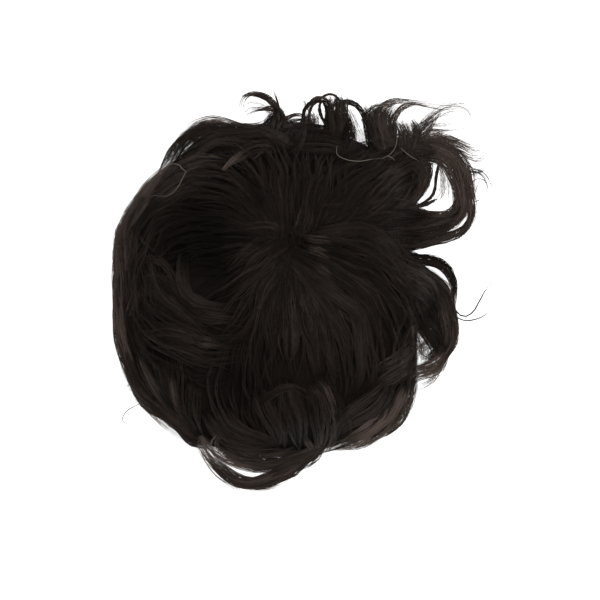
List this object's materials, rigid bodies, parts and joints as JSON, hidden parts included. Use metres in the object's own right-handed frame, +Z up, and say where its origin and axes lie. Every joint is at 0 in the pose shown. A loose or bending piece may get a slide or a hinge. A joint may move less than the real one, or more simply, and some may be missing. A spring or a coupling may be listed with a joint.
{
  "type": "hair patch",
  "caption": "Short wavy dark hair patch: a thin domed net base, open underneath for the head, with hair that fans from a crown whorl into waves and open curls.",
  "frame": {"origin": "middle of the whole patch's plan, on the surface that it lies on", "axes": "+Z up out of the crown, -Y toward the wearer's forehead, +X toward the side with the open curl"},
  "size_m": [0.2284, 0.2508, 0.0655],
  "materials": {
    "net": "fine dark knotted net",
    "hair": "very dark brown wavy hair with a soft gloss"
  },
  "bodies": {
    "root": {"base_cap": "net", "hair": "hair"}
  },
  "joints": []
}
